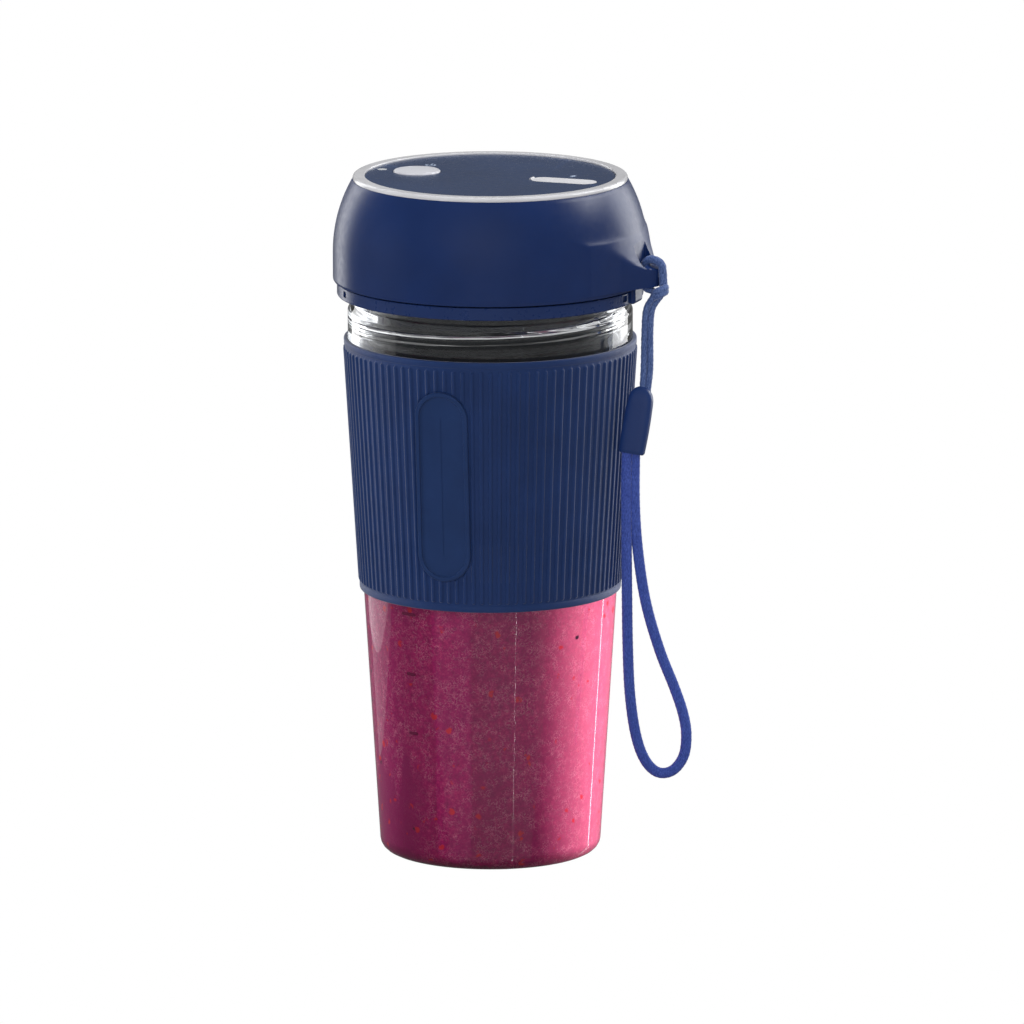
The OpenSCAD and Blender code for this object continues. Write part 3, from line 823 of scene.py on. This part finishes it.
def rib_height(z, thetas, low, high):
    """Height of the rods between low and high, each with a rounded end; none on the badge."""
    pitch = TAU / RIBS
    phase = (thetas / pitch + 0.5) % 1 - 0.5
    across = phase * pitch * cup_radius(z)
    beyond = max(0.0, z - high, low - z)
    reach = 1 - (across**2 + beyond**2) / RIB_HALF**2
    height = RIB_TALL * np.sqrt(np.clip(reach, 0, 1))
    side = ((thetas - BADGE_AT + math.pi) % TAU - math.pi) * cup_radius(z)
    up = np.clip(z - BADGE_Z, -(BADGE_L - BADGE_W) / 2, (BADGE_L - BADGE_W) / 2)
    outside = np.hypot(side, z - BADGE_Z - up) - BADGE_W / 2
    return height * smoothstep(0.0, 0.35, outside)


def make_sleeve():
    low, high = sleeve_low.z, sleeve_high.z
    band_low, band_high = low + 2.3 + RIB_HALF, high - 2.6 - RIB_HALF
    ends = np.linspace(0, RIB_HALF, 6)
    middle = np.linspace(band_low, band_high, 34)[1:-1]
    heights = np.unique(
        np.concatenate([band_low - ends, band_high + ends, middle, badge_heights()])
    )
    inner = [(0.05, high - 0.3), (0.05, low + 0.3)]
    lower = rounded_edge(low, 1, SLEEVE_BASE)
    upper = rounded_edge(high, -1, SLEEVE_BASE)
    thetas = round_steps(RIBS * 16)
    ribs = [(SLEEVE_BASE + rib_height(z, thetas, band_low, band_high), z) for z in heights]
    section = lower + ribs + upper[::-1] + inner
    rows = [ring_at(cup_radius(z) + lift, z, thetas) for lift, z in section]
    sleeve = skin("sleeve_shell", rows, navy_silicone, wrap_rows=True, sharp=65)
    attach(sleeve, "cup")
    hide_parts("sleeve")


def badge_heights():
    """Extra rows where the badge's round ends cut across the rods."""
    straight = (BADGE_L - BADGE_W) / 2
    ends = np.linspace(straight, BADGE_L / 2 + 0.4, 16)
    return np.concatenate([BADGE_Z - ends, BADGE_Z + ends])


def rounded_edge(z, way, lift):
    """(lift, height) of the sleeve's rolled edge, from its inner side outwards."""
    bead, radius = 0.3, 0.45
    out = [(0.12, z + way * 0.05)]
    for k in range(7):
        a = math.pi / 2 * k / 6
        out.append((lift + bead - radius + radius * math.sin(a), z + way * radius * (1 - math.cos(a))))
    for k in range(1, 5):
        a = math.pi * k / 4
        out.append((lift + bead / 2 + bead / 2 * math.cos(a), z + way * (1.5 + 0.5 * k / 4)))
    return out


def make_badge():
    """Plain stadium with a raised rounded rim, on the sleeve's -Y side."""
    outline = stadium_loop(BADGE_L, BADGE_W, 240)
    section = [(0, 0.7), (0, 1.3)]
    section += [(0.3 - 0.3 * math.cos(a), 1.35 + 0.3 * math.sin(a)) for a in np.linspace(0, 1.57, 6)]
    section += [(1.0 + 0.25 * math.sin(a), 1.4 + 0.25 * math.cos(a)) for a in np.linspace(0, 1.57, 5)]
    section += [(1.25, 1.2), (1.35, 1.12), (1.6, 1.08)]
    section += [(d, 1.08) for d in np.linspace(2.2, BADGE_W / 2 - 0.05, 9)]
    rows = []
    for inset, lift in section:
        loop = shrink(outline, BADGE_L, BADGE_W, inset)
        rows.append(on_cone(loop[:, ::-1], BADGE_AT, BADGE_Z, lift))
    badge = skin("sleeve_badge", rows, badge_silicone, sharp=55)
    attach(badge, "cup")


# ---------------------------------------------------------------- motor unit casing

WALL_IN, LUG_Z = 40.4, 159.3
WING_OFF, WING_AT = 42.21, math.radians(30.68)
TIP_X, TIP_R = 44.9, 3.6
SLOT_X, SLOT_W = (42.75, 45.9), 9.5


def smooth_max(a, b, k):
    h = np.clip(0.5 + 0.5 * (a - b) / k, 0, 1)
    return b * (1 - h) + a * h + k * h * (1 - h)


def smooth_min(a, b, k):
    return -smooth_max(-a, -b, k)


def lug_plan(thetas):
    """Distance from the axis to the lug's outline in plan: two wings and a round tip."""
    angle = np.abs((thetas + math.pi) % TAU - math.pi)
    wing = WING_OFF / np.maximum(np.cos(angle - WING_AT), 0.05)
    beyond = np.maximum(angle - WING_AT, 0)
    wing = np.where(beyond > 0, WING_OFF - 14 * beyond, wing)
    tip = TIP_X * np.cos(angle) + np.sqrt(np.maximum(TIP_R**2 - (TIP_X * np.sin(angle)) ** 2, 0))
    return np.where(angle < math.radians(2.19), tip, wing)


def lug_ramp(z):
    """How far out the lug's top surface reaches at height z."""
    levels = (163.4, 164.9, 166.2, 168, 170.4, 172.9, 180)
    return np.interp(z, levels, (49.8, 46.2, 45.0, 44, 43, 42.1, 36))


def with_lug(radius, z, thetas):
    if not LUG_Z <= z <= 178 or radius[0] < WALL_IN + 0.2:
        return radius
    lug = smooth_min(lug_plan(thetas), lug_ramp(z), 0.5)
    away = np.abs((thetas + math.pi) % TAU - math.pi)
    blend = 0.35 + 1.4 * smoothstep(math.radians(8), math.radians(22), away)
    return np.maximum(radius, smooth_max(radius, lug, blend))


def housing_profile():
    """Closed (r, z) section of the housing, from the skirt up the outside and down the inside."""
    dome_r, dome_x, dome_z = 39.3, 3.4, 166.0
    angles = np.radians(np.linspace(0, 30, 18))
    outside = [(WALL_IN, 158.2), (42.1, 158.2), (42.45, 158.32), (42.64, 158.65), (42.7, 159.1)]
    outside += [(42.7, LUG_Z - 0.02), (42.7, LUG_Z)]
    outside += [(42.7, z) for z in np.arange(LUG_Z + 0.3, dome_z, 0.35)]
    outside += [(dome_x + dome_r * math.cos(a), dome_z + dome_r * math.sin(a)) for a in angles]
    outside = thicken(outside, 164, 174, 0.35)
    inside = [
        (37.3, 185.75), (37.1, 185.85), (36.75, 185.85), (36.55, 185.7), (36.5, 184.5),
        (29.6, 184.5), (29.6, 181.5), (37.2, 181.5), (WALL_IN, 172), (WALL_IN, 165),
    ]
    return outside + inside


def box_mesh(name, low, high, bevel=0.0):
    """Block between two corners in millimetres, with rounded edges."""
    bm = bmesh.new()
    bmesh.ops.create_cube(bm, size=1)
    low, high = np.array(low, float), np.array(high, float)
    for v in bm.verts:
        v.co = Vector(((low + high) / 2 + np.array(v.co) * (high - low)) * MM)
    if bevel:
        bmesh.ops.bevel(
            bm, geom=bm.edges[:], offset=bevel * MM, segments=4, affect="EDGES", profile=0.5
        )
    mesh = bpy.data.meshes.new(name)
    bm.to_mesh(mesh)
    bm.free()
    obj = bpy.data.objects.new(name, mesh)
    bpy.context.scene.collection.objects.link(obj)
    return obj


def make_housing():
    near = np.radians(np.arange(-42, 42, 0.3))
    far = np.radians(np.arange(42, 318, 1.2))
    thetas = np.concatenate([near, far])
    rows = lathe_rows(housing_profile(), thetas, with_lug)
    housing = skin("housing_shell", rows, navy_shell, wrap_rows=True, sharp=35)
    slot = box_mesh("slot", (SLOT_X[0], -SLOT_W / 2, 155), (SLOT_X[1], SLOT_W / 2, 176), 0.5)
    boolean(housing, slot, "DIFFERENCE")
    tab = box_mesh("tab", (WALL_IN + 0.2, -3.5, 154.3), (42.8, 3.5, 161), 1.0)
    boolean(housing, tab, "UNION")
    tidy_mesh(housing.data, 35)
    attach(weighted(housing), "motor_unit")
    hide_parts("housing")


def make_collar():
    low, high = collar_low.z, collar_high.z
    profile = rounded(
        [(38.9, low, 0.35), (41.6, low, 0.45), (41.6, high, 0.3), (40.4, high, 0.1),
         (40.4, 157, 0.1), (38.9, 157, 0.1)],
        closed=True,
    )
    collar = skin(
        "collar", lathe_rows(profile, round_steps(360)), navy_collar, wrap_rows=True, sharp=50
    )
    gap = box_mesh("gap", (40.3, -3.7, 153), (45, 3.7, 160))
    boolean(collar, gap, "DIFFERENCE")
    for angle in (-141, -9):
        notch = box_mesh("notch", (40.8, -1.1, 155.5), (44, 1.1, 157.2), 0.25)
        notch.rotation_euler.z = math.radians(angle)
        boolean(collar, notch, "DIFFERENCE")
    tidy_mesh(collar.data, 35)
    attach(weighted(collar), "motor_unit")
    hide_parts("collar_ring")


def make_top_ring():
    low, high = ring_low.z, ring_high.z
    profile = rounded(
        [(34, low, 0), (36.4, low, 0), (36.4, 185.72, 0.05), (37.3, 185.72, 0.3),
         (37.3, high, 0.85), (34, high, 0.35), (34, 185, 0)],
        closed=True,
    )
    ring = skin("top_trim", lathe_rows(profile, round_steps(288)), white_trim, True, sharp=50)
    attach(weighted(ring), "motor_unit")
    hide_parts("top_ring")


PLUG_R, PLUG_THREAD_LOW, PLUG_THREAD_TALL = 31.8, 138.6, 1.5


def male_thread(radius, z, thetas):
    outside = np.abs(radius - PLUG_R) < 0.25
    ridge = thread_ridge(z, thetas, PLUG_THREAD_LOW, 1.9, 0.5, 0.7)
    return radius + PLUG_THREAD_TALL * outside * ridge


def make_plug():
    """The part of the motor unit that reaches into the neck, with its thread."""
    profile = rounded(
        [(5.6, 133, 0.2), (PLUG_R, 133, 0.9), (PLUG_R, 157, 0), (40.2, 157, 0.2), (40.2, 159, 0.2),
         (29.6, 159, 0), (29.6, 135.5, 0.5), (5.6, 135.5, 0.2)],
        closed=True,
    )
    first = next(i for i, p in enumerate(profile) if p[0] > PLUG_R - 0.1)
    profile = profile[:first] + thicken(profile[first:], 133, 157, 0.35)
    plug = skin(
        "base_plug", lathe_rows(profile, round_steps(216), male_thread), dark_plastic, True, sharp=50
    )
    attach(plug, "motor_unit")
    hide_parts("base_cover")


# ---------------------------------------------------------------- top panel prints


def flat_print(name, loops, z):
    """Thin printed shape on the panel: a strip between an outer and an inner outline."""
    outer, inner = (np.array(loop, float) for loop in loops)
    rows = []
    for loop, height in ((outer, z - 0.03), (outer, z + 0.03), (inner, z + 0.03), (inner, z - 0.03)):
        rows.append(np.column_stack([loop, np.full(len(loop), height)]))
    mark = skin(name, rows, print_ink, wrap_rows=True, sharp=50)
    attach(mark, "motor_unit")
    return mark


def make_prints():
    """A power sign beside the button and a bolt beside the charge port."""
    top = panel_high.z
    centre = np.array([-21.2, 10.6])
    gap = math.radians(38)
    arc = np.linspace(math.pi / 2 + gap, math.pi / 2 + TAU - gap, 40)
    ring = [np.stack([np.cos(arc), np.sin(arc)], -1) * r + centre for r in (1.5, 1.12)]
    outline = np.concatenate([ring[0], ring[1][::-1]])
    middle = (ring[0] + ring[1]) / 2
    core = np.concatenate([middle, middle[::-1]])
    flat_print("power_sign_arc", (outline, core), top)
    bar = stadium_loop(1.7, 0.38, 40)[:, ::-1] + centre + (0, 1.15)
    flat_print("power_sign_bar", (bar, bar * (0, 1) + (centre[0], 0)), top)
    bolt = np.array([(0.5, 1.7), (-0.9, -0.25), (-0.1, -0.25), (-0.5, -1.7), (0.9, 0.25), (0.1, 0.25)])
    place_at = np.array([21.2, 7.4])
    flat_print("charge_sign", (bolt + place_at, bolt * 0.02 + place_at), top)


# ---------------------------------------------------------------- kept CAD nodes

NODE_LOOKS = {
    grey_silicone: ["seal_ring", "shaft_seal"],
    panel_plastic: ["control_panel"],
    button_plastic: ["power_button"],
    cover_silicone: ["port_cover"],
    lens_plastic: ["led_lens", "status_led"],
    stainless: ["well_plate", "blade_hub", "inner_blade", "outer_blade", "blade_washer", "blade_nut"],
    plated_steel: [
        "mount_plate", "motor_screws", "motor_can", "battery_tabs", "board_screws",
        "charge_socket", "housing_screws", "drive_shaft",
    ],
    bronze: ["shaft_bush", "rear_bush"],
    ferrite: ["motor_magnets"],
    carbon: ["motor_brushes"],
    motor_plastic: ["motor_end_cap"],
    lead_insulation: ["motor_leads"],
    frame_plastic: ["chassis"],
    cell_film: ["battery_cells"],
    board_mask: ["control_board"],
    chip_plastic: ["board_parts", "tact_switch", "switch_stem"],
    laminated_steel: ["armature"],
    copper: ["motor_windings", "commutator"],
}
SOFT_EDGES = {
    "power_button": 0.35, "port_cover": 0.3, "control_panel": 0.18, "led_lens": 0.12,
    "inner_blade": 0.1, "outer_blade": 0.1, "blade_nut": 0.2, "seal_ring": 0.3,
}


def dress_node(node, material):
    """Gives a CAD node its material and slightly rounded edges, and leaves its mesh alone."""
    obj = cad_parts[node]
    obj.data.materials.clear()
    obj.data.materials.append(material)
    weld = obj.modifiers.new("weld", "WELD")
    weld.merge_threshold = 2e-6
    bevel = obj.modifiers.new("bevel", "BEVEL")
    bevel.width = SOFT_EDGES.get(node, 0.08) * MM
    bevel.segments = 3
    bevel.limit_method = "ANGLE"
    bevel.angle_limit = math.radians(40)
    bevel.use_clamp_overlap = True
    bevel.harden_normals = True


def dress_nodes():
    for material, nodes in NODE_LOOKS.items():
        for node in nodes:
            dress_node(node, material)


# ---------------------------------------------------------------- build, light and floor

make_cup()
make_drink()
make_scale()
make_sleeve()
make_badge()
make_housing()
make_collar()
make_top_ring()
make_plug()
make_prints()
dress_nodes()


def math_node(tree, operation, a, b):
    made = tree.nodes.new("ShaderNodeMath")
    made.operation = operation
    for socket, value in zip(made.inputs, (a, b)):
        if isinstance(value, bpy.types.NodeSocket):
            tree.links.new(value, socket)
        else:
            socket.default_value = value
    return made.outputs[0]


def show_white(tree, dim, white, output, outside=1.0):
    """White where the camera sees it, directly or through the cup, and dim for all other light."""
    path = tree.nodes.new("ShaderNodeLightPath").outputs
    bounces = math_node(tree, "ADD", path["Diffuse Depth"], path["Glossy Depth"])
    through = math_node(
        tree, "MULTIPLY", path["Is Transmission Ray"], math_node(tree, "LESS_THAN", bounces, 0.5)
    )
    through = math_node(tree, "MULTIPLY", through, outside)
    seen = math_node(tree, "MAXIMUM", path["Is Camera Ray"], through)
    mixed = tree.nodes.new("ShaderNodeMixShader")
    tree.links.new(seen, mixed.inputs[0])
    tree.links.new(dim, mixed.inputs[1])
    tree.links.new(white, mixed.inputs[2])
    tree.links.new(mixed.outputs[0], output)


def make_floor():
    half = 8000
    corners = [(-half, -half, 0), (half, -half, 0), (half, half, 0), (-half, half, 0)]
    s = Shader("white_sweep")
    tone = s.ramp(s.noise(0.002), [(0.3, (0.6, 0.6, 0.6)), (0.7, (0.64, 0.64, 0.64))])
    glow = s.tree.nodes.new("ShaderNodeEmission")
    away = s.node("ShaderNodeVectorMath", Vector=s.coords)
    away.operation = "LENGTH"
    outside = s.fit(away.outputs["Value"], 0.05, 0.09, 0, 1)
    # painted shadow: dark magenta on the floor under the cup, for the shadow that the drink tints
    painted_shadow_tone = s.mix(outside, (0.16, 0.01, 0.06, 1), tone)
    s.set(Base_Color=painted_shadow_tone, Roughness=0.8, Specular_IOR_Level=0.2)
    show_white(s.tree, s.surface.outputs[0], glow.outputs[0], s.output.inputs["Surface"], outside)
    floor = make_object("floor", corners, [(0, 1, 2, 3)], s.material)
    floor.visible_glossy = False


LAMP_AIM_HEIGHT = 0.11


def direction(degrees, distance, height):
    """A place that many degrees to the right of the camera's side of the object."""
    a = math.radians(degrees)
    return place(distance * math.sin(a), distance * math.cos(a), height)


def softbox(name, at, size, power, gloss=True, diffuse=True, only=None, through=False):
    """Area lamp aimed at the object. only names the pieces that it lights, if not all of them.
    through says that it shows through the clear cup."""
    data = bpy.data.lights.new(name, "AREA")
    data.shape = "RECTANGLE"
    data.size, data.size_y = size
    data.energy = power
    light = bpy.data.objects.new(name, data)
    bpy.context.scene.collection.objects.link(light)
    light.location = at
    light.visible_glossy = gloss
    light.visible_diffuse = diffuse
    light.visible_transmission = through
    aim(light, UP * LAMP_AIM_HEIGHT)
    if only:
        group = bpy.data.collections.new(name)
        for piece in only:
            group.objects.link(bpy.data.objects[piece])
        light.light_linking.receiver_collection = group
        light.light_linking.blocker_collection = group


def make_world():
    """White to the camera, and a weak even light on the object."""
    world = bpy.data.worlds.new("world")
    bpy.context.scene.world = world
    world.use_nodes = True
    tree = world.node_tree
    dim, white = tree.nodes["Background"], tree.nodes.new("ShaderNodeBackground")
    dim.inputs["Color"].default_value = (1, 1, 1, 1)
    dim.inputs["Strength"].default_value = 0.16
    white.inputs["Color"].default_value = (1, 1, 1, 1)
    output = tree.nodes["World Output"].inputs["Surface"]
    show_white(tree, dim.outputs[0], white.outputs[0], output)


def light_object():
    """Rim lights from behind, and soft fill from above, the front and the left."""
    softbox("left_back", direction(-140, 1.0, 0.3), (0.34, 0.9), 2.6, through=True)
    softbox("right_back", direction(131, 1.0, 0.35), (0.6, 0.9), 5, through=True)
    softbox("right_high", direction(98, 0.8, 0.75), (0.4, 0.4), 3)
    softbox("top_box", place(0, -0.1, 1.1), (0.8, 0.8), 5, gloss=False)
    softbox("front_fill", place(-0.2, 1.3, 0.6), (1.2, 0.9), 7, gloss=False)
    softbox("left_fill", direction(-85, 1.0, 0.1), (0.4, 0.6), 3.5, gloss=False)


def light_cup():
    """Low panels that only the clear cup reflects, and lamps that reach only the drink."""
    cup, drink = ["cup_shell"], ["cup_shell", "drink"]
    softbox("veil_front", direction(0, 1.2, -0.5), (3.0, 0.6), 1.25, diffuse=False, only=cup)
    softbox("veil_left", direction(-116, 1.0, -0.08), (1.4, 0.34), 1.0, diffuse=False, only=cup)
    softbox("veil_far", direction(-126, 1.0, -0.08), (0.8, 0.4), 0.35, diffuse=False, only=cup)
    softbox("edge_line", direction(127, 1.0, -0.4), (0.03, 0.5), 0.3, diffuse=False, only=cup)
    softbox("front_line", direction(24, 1.0, -0.4), (0.006, 0.8), 0.08, diffuse=False, only=cup)
    softbox("drink_right", direction(113, 1.0, 0.25), (0.2, 0.8), 29, gloss=False, only=drink)
    softbox("drink_front", direction(20, 1.0, 0.25), (0.8, 0.8), 2.8, gloss=False, only=drink)
    softbox("drink_left", direction(-134, 1.0, 0.25), (0.2, 0.8), 11, gloss=False, only=drink)


def light_sleeve():
    """Narrow lamps that graze the sleeve's ribs."""
    sleeve = ["sleeve_shell"]
    softbox("sleeve_right", direction(112, 1.0, 0.2), (0.08, 0.8), 2.4, only=sleeve)
    softbox("sleeve_left", direction(-105, 1.0, 0.2), (0.3, 0.8), 2.5, only=sleeve)


make_floor()
make_world()
light_object()
light_cup()
light_sleeve()
bpy.context.scene.view_settings.view_transform = "Standard"
